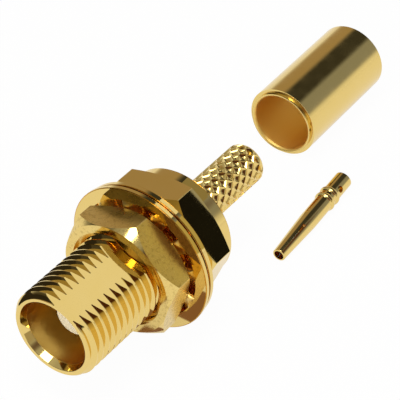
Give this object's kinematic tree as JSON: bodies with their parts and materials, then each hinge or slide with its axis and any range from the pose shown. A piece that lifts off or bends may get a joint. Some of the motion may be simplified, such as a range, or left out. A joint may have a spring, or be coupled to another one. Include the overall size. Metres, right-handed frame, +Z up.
{
  "type": "mcx panel connector",
  "caption": "Gold-plated panel-mount coaxial crimp jack: D-flat threaded barrel with nut and toothed lock washer, hex body, knurled stem, loose sleeve and socket contact.",
  "frame": {"origin": "on the jack's axis, at the front face of the flange, where the panel seats", "axes": "+Y along the jack's axis from the mating rim to the crimp stem, +Z up, away from the table that the loose sleeve and contact lie on"},
  "size_m": [0.0108, 0.0397, 0.0108],
  "materials": {
    "gold_body": "bright gold plate on turned brass",
    "gold_nut": "bright gold plate on turned brass",
    "gold_washer": "bright gold plate on stamped bronze",
    "gold_sleeve": "bright gold plate on drawn tube",
    "gold_contact": "bright gold plate on turned bronze",
    "white_insulator": "waxy white"
  },
  "bodies": {
    "connector": {"body": "gold_body", "insulator": "white_insulator", "crimp_sleeve": "gold_sleeve", "centre_contact": "gold_contact"},
    "washer": {"lock_washer": "gold_washer"},
    "nut": {"hex_nut": "gold_nut"}
  },
  "joints": [
    {"name": "washer_slide", "type": "slide", "parent": "connector", "child": "washer", "axis": [0, -1, 0], "range_m": [0, 0.006]},
    {"name": "nut_turn", "type": "hinge", "parent": "washer", "child": "nut", "pos_m": [0, 0, 0], "axis": [0, -1, 0], "range_deg": [0, 3605]}
  ],
  "couplings": [
    {"joint": "nut_turn", "follows": "washer_slide", "rad_per_m": 10472}
  ]
}
